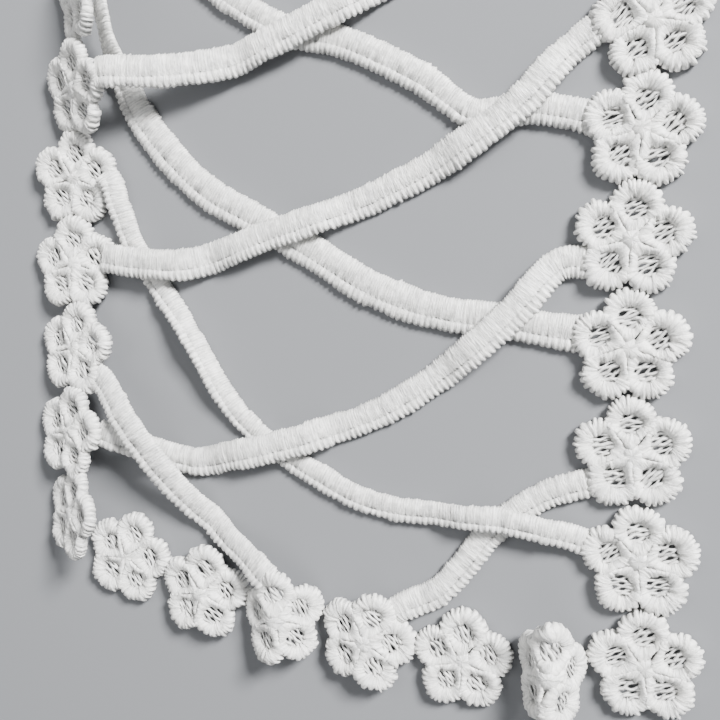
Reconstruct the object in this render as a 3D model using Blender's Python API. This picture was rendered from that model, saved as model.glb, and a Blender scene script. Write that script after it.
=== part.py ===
"""Lace neck patch: a horseshoe of guipure lace, laid flat with its face up.

Two straight fronts hang from a half ring that goes round the neck. Chains of five-petal flowers edge
the neck, the outside and the two hems. Satin-stitched bands cross the 90 mm between the chains and
pass over and under each other. A few flowers along the edge are tipped or folded, as in loose cloth.

Units are millimetres until the meshes are made. +Z is up, +Y runs from the hems to the back of the
neck, and the fronts are mirror images of each other in X. The origin is the middle of the footprint.
"""
import math

import bmesh
import bpy
import numpy as np
from mathutils import Vector

MM = 0.001

# Driving dimensions, in millimetres and degrees.
PITCH = 14.4              # from one flower to the next along the neck edge
NECK_STEPS = 14           # flower steps round the half ring's neck edge
OUTER_STEPS = 35          # and round its outer edge
STRIP_WIDTH = 90.6        # from the neck edge's flowers to the outer edge's
FRONT_LEVELS = 8          # flowers up each front's neck edge, below the ring
OUTER_START = 1.2         # degrees below level at which the outer edge's ring begins
MIDDLE_Y = 133.9          # from a front's corner flower to the middle of the footprint

PETALS = 5
PETAL_PLACE = 4.5         # from the flower's middle to a petal's middle
PETAL_RADIUS = 3.25
PETAL_ARC = 78.0          # a petal's edge runs this far to each side of its tip
PETAL_POINTS = 6          # corners along that edge
EDGE_SCALE = 0.955        # flowers of the outer edge and the hems, against those of the neck edge
RIM_HEIGHT = 1.6          # the stitched rim
NET_HEIGHT = 1.0          # the net inside a petal
CENTRE_HEIGHT = 1.5
FOLD_ROUND = 1.2          # how softly a folded flower turns at its ridge

BAND_WIDTHS = {"a": 4.8, "b": 4.6, "c": 4.5, "d": 4.1, "e": 4.4, "f": 5.1, "g": 3.7, "h": 4.7}
RING_BAND_WIDTH = 4.5
RING_BAND_BEND = 0.07     # how much straighter than a spiral a ring's band meets its flowers
BAND_TOP_SHARE = 0.7      # width of a band's top against its foot
BAND_THICKNESS = 1.2
BAND_GAP = 0.42           # between a band and the band that it passes over
BAND_SLOPE = 0.34         # steepest climb of a band
BAND_END_HEIGHT = 3.9     # a band reaches a petal raised above this from below
PASSING_HEIGHT = 2.9      # a band may pass below a petal that is raised more than this
BAND_STEP = 0.5           # spacing at which a band's course is worked out
ROLL_WEIGHT = 0.05        # millimetres of departure that a degree of roll counts as
BAND_TOLERANCE = 0.22     # how far a band's solid may leave that course
SEAM = 0.3                # between a band's end and the petal that it is sewn to

NECK_RADIUS = PITCH / 2 / math.sin(math.pi / 2 / NECK_STEPS)
OUTER_RADIUS = NECK_RADIUS + STRIP_WIDTH
RING_Y = FRONT_LEVELS * PITCH

# The front's flowers. Columns: place across from the corner flower (minus is outwards), place up from
# it, tilt that raises the side towards the neck, and fold that lowers both sides.
NECK_EDGE = (
    (0.0, 0.2, 0, 0),
    (-1.0, 14.7, 0, 0),
    (-2.1, 29.6, 0, 0),
    (-2.8, 44.1, 0, 0),
    (-2.5, 58.5, 0, 0),
    (-1.4, 72.8, 0, 0),
    (-0.2, 87.0, 0, 0),
    (0.0, 101.1, 0, 0),
)
OUTER_EDGE = (
    (-88.5, 16.3, 32, 0),
    (-89.4, 29.3, 21, 0),
    (-88.7, 43.0, 12, 0),
    (-89.2, 56.7, 0, 8),
    (-88.7, 70.6, 0, 0),
    (-86.2, 84.0, 25, 0),
    (-84.6, 98.2, 40, 0),
)
HEM = (
    (-80.9, 8.9, 0, 0),
    (-67.0, 4.5, 0, 12),
    (-53.3, 2.3, 0, 36),
    (-39.9, -0.3, 0, 15),
    (-25.4, -1.9, 0, 0),
    (-12.5, -1.0, 0, 60),
)
# The other front lies a little differently. Columns: edge, flower, tilt, fold.
RIGHT_CHANGES = (
    ("outer", 0, 12, 0),
    ("outer", 1, 6, 0),
    ("outer", 2, 0, 12),
    ("outer", 4, 18, 0),
    ("outer", 5, 8, 0),
    ("outer", 6, 14, 0),
    ("hem", 1, 0, 22),
    ("hem", 3, 0, 6),
    ("hem", 4, 0, 18),
)

# The front's bands, in the order in which they are laid down. Columns: place across, place up and
# roll in degrees, from the outer end to the inner one.
FRONT_BANDS = {
    "f": ((-84.6, 98.2, -40), (-80.3, 97.5, -40), (-80.1, 94, -40), (-79.9, 90.5, -40), (-79.1, 85, -15), (-77.2, 80, 0),
          (-73.6, 75.3, 0), (-69.5, 70.8, 0), (-65, 67.0, 0), (-60, 64.2, 0), (-54, 61.0, 0), (-48, 57.6, 0),
          (-41, 53.3, 0), (-34, 50.2, 0), (-27, 48.4, 0), (-20, 47.6, 0), (-14, 46.4, 0), (-2.8, 44.1, 0)),
    "e": ((-90.6, 112, 0), (-78, 109.5, 0), (-70, 103.5, 0), (-61, 96, 0), (-52, 90.6, 0), (-44, 88.4, 0),
          (-37, 85, 0), (-31, 81.6, 0), (-27, 78.4, 0), (-23.5, 76.4, 0), (-15, 76.6, 0), (-1.4, 72.8, 0)),
    "d": ((-39.9, -0.3, 0), (-35.3, 4.6, 0), (-29.4, 7.6, 0), (-25.3, 12.0, 0), (-21.7, 16.9, 0),
          (-17, 21.0, 0), (-12, 23.8, 0), (-1.9, 29.6, 0)),
    "g": ((-88.7, 70.6, 30), (-81.9, 69.5, 30), (-81.1, 66, 20), (-78.9, 60, 0), (-75.0, 54, 0),
          (-71.7, 49.5, 25), (-68.7, 45, 52), (-65.8, 40, 42), (-62.8, 35.4, 20), (-59.4, 31.5, 0),
          (-53.6, 27.3, 0), (-48, 24.2, 0), (-42, 21.2, 0), (-36, 19.8, 0), (-28, 19.5, 0), (-20, 19.3, 0),
          (-13, 18.2, 0), (-0.8, 15.0, 0)),
    "a": ((-86.2, 84.0, 0), (-79.5, 85.3, 0), (-70, 85.2, 0), (-60, 86.7, 0), (-50, 90.2, 0), (-40, 94.2, 0),
          (-28, 100.9, 0), (-15, 109.2, 0), (0, 115.2, 0)),
    "b": ((-89.2, 56.7, 0), (-78.4, 56.8, 0), (-70, 56.2, 0), (-63, 57.7, 0), (-55, 60.3, 0), (-48, 62.3, 0),
          (-39, 65.4, 0), (-30, 69.4, 0), (-22, 74.0, 0), (-16.1, 78.5, 0), (-10.9, 84.1, 0), (-0.2, 87.2, 0)),
    "c": ((-89.4, 29.3, 0), (-81.3, 29, 0), (-75.4, 27, 0), (-68.5, 25.2, 0), (-61.5, 26.6, 0), (-53.5, 28.6, 0),
          (-44.6, 31.4, 0), (-37.2, 34.4, 0), (-29.4, 39.3, 0), (-23.3, 44.0, 0), (-17.7, 49.3, 0),
          (-11.9, 55.4, 0), (-2.5, 58.5, 0)),
    "h": ((-88.7, 43.0, 0), (-82.3, 37.4, 0), (-77.3, 31.3, 0), (-73.2, 25.0, 0), (-68.8, 19.1, 0), (-63.5, 14.3, 0),
          (-57.5, 10.5, 0), (-53.3, 2.3, 0)),
}
# Places of the other front's bands that differ. Columns: band, place, across, up.
RIGHT_BAND_CHANGES = (
    ("h", 5, -62.0, 14.8),
    ("h", 6, -55.6, 10.6),
    ("d", 1, -36.4, 5.4),
    ("d", 2, -30.2, 9.6),
)
# Half of the ring's bands, in the order in which they are laid down. Columns: outer flower, inner
# level, and how far along the strip, in millimetres, the band's middle swings towards the hem.
RING_BANDS = (
    (4, 7, 3.0),
    (9, 9, 4.0),
    (14, 11, 4.0),
    (18, 13, 4.0),
    (22, 15, 3.0),
    (2, 10, -3.0),
    (7, 12, -4.0),
    (11, 14, -4.0),
)

THREAD_COLOUR = (0.60, 0.60, 0.575, 1.0)
THREAD_ROUGHNESS = 0.5


class Flower:
    """One flower: where its middle is, how it lies, and how high it is lifted."""

    def __init__(self, x, y, heading=90.0, tilt=0.0, fold=0.0, scale=1.0):
        self.x = x
        self.y = y
        self.heading = math.radians(heading - 90)
        self.tilt = math.radians(tilt)
        self.fold = math.radians(fold)
        self.rake = 0.0
        self.lift = 0.0
        self.scale = scale

    def place(self, across, along, height):
        """The point of space at a point of the flat flower."""
        reach = math.hypot(across, FOLD_ROUND)
        lean = math.atan2(across * math.sin(self.fold), reach * math.cos(self.fold))
        x = across * math.cos(self.fold) + height * math.sin(lean)
        z = -math.sin(self.fold) * (reach - FOLD_ROUND) + height * math.cos(lean)
        x, z = (x * math.cos(self.tilt) - z * math.sin(self.tilt),
                x * math.sin(self.tilt) + z * math.cos(self.tilt))
        y, z = (along * math.cos(self.rake) - z * math.sin(self.rake),
                along * math.sin(self.rake) + z * math.cos(self.rake))
        turn_x = math.cos(self.heading)
        turn_y = math.sin(self.heading)
        return (self.x + x * turn_x - y * turn_y, self.y + x * turn_y + y * turn_x, self.lift + z)

    def petal_middle(self, petal):
        """A petal's middle on the flat flower."""
        angle = math.radians(90 + petal * 360 / PETALS)
        return (PETAL_PLACE * self.scale * math.cos(angle), PETAL_PLACE * self.scale * math.sin(angle))

    def outline(self):
        """The flat flower's corners, petal by petal, anticlockwise."""
        corners = []
        for petal in range(PETALS):
            middle_x, middle_y = self.petal_middle(petal)
            for step in range(PETAL_POINTS):
                side = PETAL_ARC * (2 * step / (PETAL_POINTS - 1) - 1)
                angle = math.radians(90 + petal * 360 / PETALS + side)
                radius = PETAL_RADIUS * self.scale
                corners.append((middle_x + radius * math.cos(angle), middle_y + radius * math.sin(angle)))
        return corners

    def lobes(self):
        """The middle of each petal's underside, a row for each petal."""
        return np.array([self.place(*self.petal_middle(petal), 0) for petal in range(PETALS)])

    def settle(self):
        """Lifts the flower until its lowest corner is on the ground."""
        self.lift -= min(self.place(x, y, 0)[2] for x, y in self.outline())


def flower_mesh(flower):
    """Points and faces of one flower, with its walls listed apart so that links can replace them."""
    corners = flower.outline()
    count = len(corners)
    points = [flower.place(x, y, 0) for x, y in corners]
    points += [flower.place(x, y, RIM_HEIGHT) for x, y in corners]
    petals = len(points)
    points += [flower.place(*flower.petal_middle(petal), NET_HEIGHT) for petal in range(PETALS)]
    centre = len(points)
    points.append(flower.place(0, 0, CENTRE_HEIGHT))
    under = len(points)
    points.append(flower.place(0, 0, 0))
    faces = []
    for step in range(count):
        after = (step + 1) % count
        faces.append((under, after, step))
    for petal in range(PETALS):
        first = petal * PETAL_POINTS
        for step in range(first, first + PETAL_POINTS - 1):
            faces.append((petals + petal, count + step, count + step + 1))
        last = first + PETAL_POINTS - 1
        following = (petal + 1) % PETALS
        faces.append((petals + petal, count + last, count + (last + 1) % count, petals + following))
        faces.append((centre, petals + petal, petals + following))
    walls = {step: (step, (step + 1) % count, count + (step + 1) % count, count + step)
             for step in range(count)}
    return points, faces, walls


def wall_middle(points, wall):
    """The middle of a wall, or any face."""
    return sum((Vector(points[corner]) for corner in wall), Vector()) / len(wall)


def chain_mesh(flowers):
    """A chain of flowers, each joined to the next where their edges are nearest."""
    points = []
    faces = []
    walls = []
    for flower in flowers:
        base = len(points)
        own_points, own_faces, own_walls = flower_mesh(flower)
        points += own_points
        faces += [tuple(base + corner for corner in face) for face in own_faces]
        walls.append({step: tuple(base + corner for corner in wall) for step, wall in own_walls.items()})
    for here, there in zip(walls, walls[1:]):
        pairs = ((wall_middle(points, here[i]) - wall_middle(points, there[j])).length_squared
                 + 1e-9 * (i + j) for i in here for j in there)
        best = min(zip(pairs, ((i, j) for i in here for j in there)))[1]
        near = here.pop(best[0])
        far = there.pop(best[1])
        for side in range(4):
            after = (side + 1) % 4
            opposite = (1 - side) % 4
            opposite_after = (1 - after) % 4
            faces.append((near[side], near[after], far[opposite_after], far[opposite]))
    for remaining in walls:
        faces += remaining.values()
    return points, faces


def rake_chain(flowers):
    """Leans each flower along its chain, so that it meets lifted neighbours, and settles it."""
    for flower in flowers:
        flower.settle()
    lifts = [flower.lift for flower in flowers]
    for index, flower in enumerate(flowers):
        before = max(index - 1, 0)
        after = min(index + 1, len(flowers) - 1)
        step = Vector((flowers[after].x - flowers[before].x, flowers[after].y - flowers[before].y))
        along = Vector((-math.sin(flower.heading), math.cos(flower.heading)))
        climb = (lifts[after] - lifts[before]) / step.length
        flower.rake = math.atan(climb) * step.normalized().dot(along)
        flower.settle()


def front_edges(side):
    """The flowers of one front, by edge. Side is -1 for the left front and 1 for the right."""
    tables = {"neck": NECK_EDGE, "outer": OUTER_EDGE, "hem": HEM}
    changes = {(edge, flower): (tilt, fold) for edge, flower, tilt, fold in RIGHT_CHANGES}
    edges = {}
    for edge, table in tables.items():
        flowers = []
        for index, (across, up, tilt, fold) in enumerate(table):
            if side > 0:
                tilt, fold = changes.get((edge, index), (tilt, fold))
            scale = 1.0 if edge == "neck" else EDGE_SCALE
            heading = -90 * side
            flowers.append(Flower(side * (NECK_RADIUS - across), up - MIDDLE_Y, heading, tilt, fold, scale))
        edges[edge] = flowers
    rake_chain(edges["outer"])
    for flower in edges["neck"] + edges["hem"]:
        flower.settle()
    return edges


def ring_edge(radius, steps, start, scale):
    """The flowers of one edge of the half ring, from the left front to the right one."""
    flowers = []
    for step in range(steps + 1):
        angle = 180 + start - step * (180 + 2 * start) / steps
        x = radius * math.cos(math.radians(angle))
        y = RING_Y - MIDDLE_Y + radius * math.sin(math.radians(angle))
        flowers.append(Flower(x, y, angle - 90, scale=scale))
    return flowers


def smooth_course(places):
    """A smooth curve through hand-placed points, as points about BAND_STEP apart."""
    course = []
    padded = [places[0]] + list(places) + [places[-1]]
    for before, start, end, after in zip(padded, padded[1:], padded[2:], padded[3:]):
        count = max(1, round(math.dist(start[:2], end[:2]) / BAND_STEP))
        for step in range(count):
            t = step / count
            course.append(tuple(
                0.5 * (2 * q + (r - p) * t + (2 * p - 5 * q + 4 * r - s) * t * t + (3 * q - p - 3 * r + s) * t ** 3)
                for p, q, r, s in zip(before, start, end, after)))
    course.append(tuple(places[-1]))
    return np.array(course)


def nearest_flower(end, flowers):
    """The flower that a band's end is sewn to."""
    return min(flowers, key=lambda one: math.dist((one.x, one.y), end[:2]))


def nearest_petal(flower, before):
    """The petal that a band comes to first."""
    return min(flower.lobes(), key=lambda lobe: math.dist(lobe[:2], before[:2]))


def ring_course(outer, inner, swing):
    """The places of a band of the ring, from one flower of its outer edge to one of its neck edge."""
    outer_angle = math.atan2(outer.y - RING_Y + MIDDLE_Y, outer.x)
    inner_angle = math.atan2(inner.y - RING_Y + MIDDLE_Y, inner.x)
    if inner_angle - outer_angle > math.pi:
        outer_angle += 2 * math.pi
    if outer_angle - inner_angle > math.pi:
        inner_angle += 2 * math.pi
    inner_radius = math.hypot(inner.x, inner.y - RING_Y + MIDDLE_Y)
    places = []
    rows = 9
    for row in range(rows):
        share = row / (rows - 1)
        turn = share - RING_BAND_BEND * math.sin(2 * math.pi * share)
        radius = OUTER_RADIUS + (inner_radius - OUTER_RADIUS) * share
        angle = outer_angle + (inner_angle - outer_angle) * turn + swing / radius * math.sin(math.pi * share)
        places.append((radius * math.cos(angle), RING_Y - MIDDLE_Y + radius * math.sin(angle), 0.0))
    return places


class Band:
    """A satin band: its course in plan, its roll along it and its height."""

    def __init__(self, name, width, places, flowers):
        self.name = name
        self.width = width
        own = [nearest_flower(places[0], flowers), nearest_flower(places[-1], flowers)]
        ends = [nearest_petal(own[0], places[1]), nearest_petal(own[1], places[-2])]
        course = smooth_course([(*ends[0][:2], places[0][2]), *places[1:-1], (*ends[1][:2], places[-1][2])])
        self.course = self.trimmed(course, flowers, ends)
        self.heights = np.zeros(len(self.course))
        self.heights[[0, -1]] = [min(end[2], BAND_END_HEIGHT) for end in ends]
        roll = np.radians(self.course[:, 2])
        self.depth = BAND_THICKNESS * np.cos(roll) + width * np.abs(np.sin(roll))

    @staticmethod
    def directions(course):
        """The unit directions of a course in plan."""
        along = np.gradient(course[:, :2], axis=0)
        return along / np.linalg.norm(along, axis=1, keepdims=True)

    def trimmed(self, course, flowers, ends):
        """The stretch of a course whose whole width stays clear of the petals, or passes below them."""
        along = self.directions(course)
        width = self.width * np.cos(np.radians(course[:, 2]))
        across = np.stack([along[:, 1], -along[:, 0]], axis=1) * width[:, None]
        petals = []
        reach = []
        for flower in flowers:
            radius = PETAL_RADIUS * flower.scale
            for lobe in flower.lobes():
                sewn = min(math.dist(lobe, end) for end in ends) < SEAM
                if sewn or lobe[2] - radius * math.sin(abs(flower.tilt)) < PASSING_HEIGHT:
                    petals.append(lobe[:2])
                    reach.append(radius + SEAM)
        clear = np.ones(len(course), bool)
        for share in (-0.5, -0.25, 0, 0.25, 0.5):
            edge = course[:, :2] + across * share
            away = np.linalg.norm(edge[:, None] - np.array(petals)[None], axis=2)
            clear &= (away > np.array(reach)).all(axis=1)
        middle = len(course) // 2
        blocked = np.flatnonzero(~clear)
        start = blocked[blocked < middle].max() + 1
        end = blocked[blocked > middle].min()
        return course[start:end]

    def lay_over(self, laid):
        """Raises the band to pass over those already laid, and to reach its flowers."""
        for other in laid:
            away = np.linalg.norm(self.course[:, None, :2] - other.course[None, :, :2], axis=2)
            tops = other.heights + other.depth + BAND_GAP
            under = np.where(away < (self.width + other.width) / 2 + BAND_GAP, tops, 0.0)
            self.heights = np.maximum(self.heights, under.max(axis=1))
        steps = np.abs(np.subtract.outer(np.arange(len(self.course)), np.arange(len(self.course))))
        self.heights = (self.heights[None] - BAND_SLOPE * BAND_STEP * steps).max(axis=1)
        self.heights = np.maximum(self.heights, 0.0)

    def sections(self):
        """The few places along the band that its solid needs."""
        points = [Vector((x, y, height + ROLL_WEIGHT * roll)) for (x, y, roll), height
                  in zip(self.course, self.heights)]
        kept = {0, len(points) - 1}
        spans = [(0, len(points) - 1)]
        while spans:
            first, last = spans.pop()
            chord = points[last] - points[first]
            worst, at = 0.0, None
            for index in range(first + 1, last):
                offset = points[index] - points[first]
                away = (offset - chord * (offset.dot(chord) / chord.length_squared)).length
                if away > worst:
                    worst, at = away, index
            if worst > BAND_TOLERANCE:
                kept.add(at)
                spans += [(first, at), (at, last)]
        return sorted(kept)

    def mesh(self):
        """Points and faces of the band's solid."""
        directions = self.directions(self.course)
        half = self.width / 2
        profile = ((-half, 0), (half, 0), (half * BAND_TOP_SHARE, BAND_THICKNESS),
                   (-half * BAND_TOP_SHARE, BAND_THICKNESS))
        points = []
        for index in self.sections():
            x, y, roll = self.course[index]
            along = directions[index]
            turn = math.radians(roll)
            corners = [(across * math.cos(turn) - up * math.sin(turn), across * math.sin(turn) + up * math.cos(turn))
                       for across, up in profile]
            lowest = min(up for across, up in corners)
            for across, up in corners:
                points.append((x + along[1] * across, y - along[0] * across, self.heights[index] + up - lowest))
        rows = len(points) // 4
        faces = [(0, 1, 2, 3), tuple(range(4 * rows - 1, 4 * rows - 5, -1))]
        for row in range(rows - 1):
            for side in range(4):
                after = (side + 1) % 4
                faces.append((4 * row + side, 4 * row + 4 + side, 4 * row + 4 + after, 4 * row + after))
        return points, faces


def thread_material():
    """White polyester embroidery thread."""
    material = bpy.data.materials.new("thread")
    material.use_nodes = True
    shader = material.node_tree.nodes["Principled BSDF"]
    shader.inputs["Base Color"].default_value = THREAD_COLOUR
    shader.inputs["Roughness"].default_value = THREAD_ROUGHNESS
    shader.inputs["Metallic"].default_value = 0.0
    return material


def add_object(name, points, faces, material, parent):
    """Makes one closed object from points in millimetres."""
    mesh = bpy.data.meshes.new(name)
    mesh.from_pydata([Vector(point) * MM for point in points], [], faces)
    shape = bmesh.new()
    shape.from_mesh(mesh)
    bmesh.ops.recalc_face_normals(shape, faces=shape.faces)
    bmesh.ops.triangulate(shape, faces=shape.faces)
    shape.to_mesh(mesh)
    shape.free()
    mesh.materials.append(material)
    item = bpy.data.objects.new(name, mesh)
    item.parent = parent
    bpy.context.collection.objects.link(item)
    return item


def split(flowers, count):
    """Cuts a chain into nearly equal lengths."""
    size = len(flowers) / count
    return [flowers[round(part * size):round((part + 1) * size)] for part in range(count)]


def main():
    for item in list(bpy.data.objects):
        bpy.data.objects.remove(item, do_unlink=True)
    material = thread_material()
    patch = bpy.data.objects.new("lace_neck_patch", None)
    bpy.context.collection.objects.link(patch)

    chains = {}
    for name, side in (("left", -1), ("right", 1)):
        for edge, flowers in front_edges(side).items():
            chains[f"chain_{name}_{edge}"] = flowers
    neck = ring_edge(NECK_RADIUS, NECK_STEPS, 0.0, 1.0)
    outer = ring_edge(OUTER_RADIUS, OUTER_STEPS, OUTER_START, EDGE_SCALE)
    for part, flowers in enumerate(split(neck, 5), 1):
        chains[f"chain_back_neck_{part}"] = flowers
    for part, flowers in enumerate(split(outer, 6), 1):
        chains[f"chain_back_outer_{part}"] = flowers
    every_flower = [flower for flowers in chains.values() for flower in flowers]
    for name, flowers in chains.items():
        add_object(name, *chain_mesh(flowers), material, patch)

    bands = []
    levels = [None] * FRONT_LEVELS + neck
    for letter, places in FRONT_BANDS.items():
        for name, side in (("left", -1), ("right", 1)):
            moved = [(side * (NECK_RADIUS - across), up - MIDDLE_Y, -side * roll) for across, up, roll in places]
            for band, place, across, up in RIGHT_BAND_CHANGES:
                if side > 0 and band == letter:
                    moved[place] = (NECK_RADIUS - across, up - MIDDLE_Y, 0)
            bands.append(Band(f"band_{name}_{letter}", BAND_WIDTHS[letter], moved, every_flower))
    for number, (outer_flower, level, swing) in enumerate(RING_BANDS, 1):
        inner = levels[level] or chains["chain_left_neck"][level]
        for name, side in (("left", -1), ("right", 1)):
            places = ring_course(outer[outer_flower], inner, swing)
            moved = [(-side * x, y, roll) for x, y, roll in places]
            bands.append(Band(f"band_back_{name}_{number}", RING_BAND_WIDTH, moved, every_flower))
    laid = []
    for band in bands:
        band.lay_over(laid)
        laid.append(band)
        add_object(band.name, *band.mesh(), material, patch)


main()
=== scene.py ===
"""Lace neck patch: the looks of a horseshoe of white guipure lace, laid flat with its face up.

Each flower is five petals of fan stitches round a small net, joined petal to petal in chains. Each
band is two rows of satin stitches that meet along a line of needle holes. Lengths in the tables are
millimetres, measured across from a front's corner flower (minus is outwards) and up from it.
"""
import math

import bpy
import numpy as np
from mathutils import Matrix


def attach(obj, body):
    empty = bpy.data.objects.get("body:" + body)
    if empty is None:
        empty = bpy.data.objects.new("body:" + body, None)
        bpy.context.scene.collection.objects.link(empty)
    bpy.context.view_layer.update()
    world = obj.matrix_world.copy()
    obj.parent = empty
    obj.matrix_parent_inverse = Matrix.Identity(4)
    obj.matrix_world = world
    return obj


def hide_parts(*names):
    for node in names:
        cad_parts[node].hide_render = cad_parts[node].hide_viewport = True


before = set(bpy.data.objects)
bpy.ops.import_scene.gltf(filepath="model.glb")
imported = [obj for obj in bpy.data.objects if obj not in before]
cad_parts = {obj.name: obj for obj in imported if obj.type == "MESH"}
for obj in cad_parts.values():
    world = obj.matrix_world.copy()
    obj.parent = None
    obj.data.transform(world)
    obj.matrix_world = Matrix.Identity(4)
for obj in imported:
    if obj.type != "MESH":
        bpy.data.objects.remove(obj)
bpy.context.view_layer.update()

bl_info = {
    "name": "Guipure lace neck patch",
    "version": (1, 0, 0),
    "blender": (4, 5, 0),
    "location": "View3D > Sidebar > Lace",
    "description": "Stitches a horseshoe neck patch of flower chains and satin bands",
    "category": "Add Mesh",
}

MM = 0.001

# How the flowers and bands are laid out, as in the part.
PITCH = 14.4  # from one flower of the neck's chain to the next
NECK_STEPS = 14  # from flower to flower round the half ring's neck edge
OUTER_STEPS = 35  # and round its outer edge
STRIP_WIDTH = 90.6  # between the middles of the two chains
FRONT_LEVELS = 8  # flowers up a front's neck edge
OUTER_START = 1.2  # degrees by which the outer edge reaches past a half ring
MIDDLE_Y = 133.9  # from a front's corner flower up to the frame's origin
PETALS = 5
PETAL_PLACE = 4.5  # from a flower's middle to a petal's
PETAL_RADIUS = 3.25  # of the part's plain petals
FREE_EDGE = np.radians(np.linspace(-78, 78, 6))  # directions, from its axis, of a petal's free edge
EDGE_SCALE = 0.955  # size of the outer and hem flowers beside the neck's
FOLD_ROUND = 1.2  # how far to each side of a fold the flower is rounded
NECK_SLANT = 30.0  # degrees at which the nets' threads run on the neck's flowers
EDGE_SLANT = -50.0  # and on the others
BAND_WIDTHS = {"a": 4.8, "b": 4.6, "c": 4.5, "d": 4.1, "e": 4.4, "f": 5.1, "g": 3.7, "h": 4.7}
RING_BAND_WIDTH = 4.5
RING_BAND_BEND = 0.07  # how much straighter than a spiral a ring's band meets its flowers
RING_BAND_PLACES = 9
BAND_THICKNESS = 1.2
BAND_GAP = 0.42  # left between two bands that cross
BAND_SLOPE = 0.34  # steepest climb of a band to where it crosses another
BAND_END_HEIGHT = 3.9  # most that a band's end is lifted with its petal
PASSING_HEIGHT = 2.9  # a band passes below a petal that is higher than this
CLEAR_SHARES = (-0.5, -0.25, 0, 0.25, 0.5)  # places across a band that have to clear the petals
COURSE_STEP = 0.5
SEAM = 0.3  # between a band and a petal's plain solid
NECK_RADIUS = PITCH / 2 / math.sin(math.pi / 2 / NECK_STEPS)
OUTER_RADIUS = NECK_RADIUS + STRIP_WIDTH
RING_Y = FRONT_LEVELS * PITCH

# The flowers of a front's three edges. Columns: across, up, and in degrees the tilt that raises the
# side towards the neck, the fold that lowers both sides, and the turn of the petals, which the part's
# plain flowers don't have.
NECK_EDGE = (
    (0.0, 0.2, 0, 0, 4),
    (-1.0, 14.7, 0, 0, 3),
    (-2.1, 29.6, 0, 0, 3),
    (-2.8, 44.1, 0, 0, -1),
    (-2.5, 58.5, 0, 0, -6),
    (-1.4, 72.8, 0, 0, -7),
    (-0.2, 87.0, 0, 0, 6),
    (0.0, 101.1, 0, 0, 2),
)
OUTER_EDGE = (
    (-88.5, 16.3, 32, 0, -16),
    (-89.4, 29.3, 21, 0, -12),
    (-88.7, 43.0, 12, 0, -8),
    (-89.2, 56.7, 0, 8, 0),
    (-88.7, 70.6, 0, 0, -5),
    (-86.2, 84.0, 25, 0, -6),
    (-84.6, 98.2, 40, 0, 0),
)
HEM = (
    (-80.9, 8.9, 0, 0, -17),
    (-67.0, 4.5, 0, 12, -9),
    (-53.3, 2.3, 0, 36, 8),
    (-39.9, -0.3, 0, 15, -17),
    (-25.4, -1.9, 0, 0, -2),
    (-12.5, -1.0, 0, 60, -7),
)
RING_TURN = 4.0  # usual turn of a flower of the half ring, in degrees
RING_SEED = 3
# The other front lies a little differently. Columns: edge, flower, tilt, fold.
RIGHT_CHANGES = (
    ("outer", 0, 12, 0),
    ("outer", 1, 6, 0),
    ("outer", 2, 0, 12),
    ("outer", 4, 18, 0),
    ("outer", 5, 8, 0),
    ("outer", 6, 14, 0),
    ("hem", 1, 0, 22),
    ("hem", 3, 0, 6),
    ("hem", 4, 0, 18),
)
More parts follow.
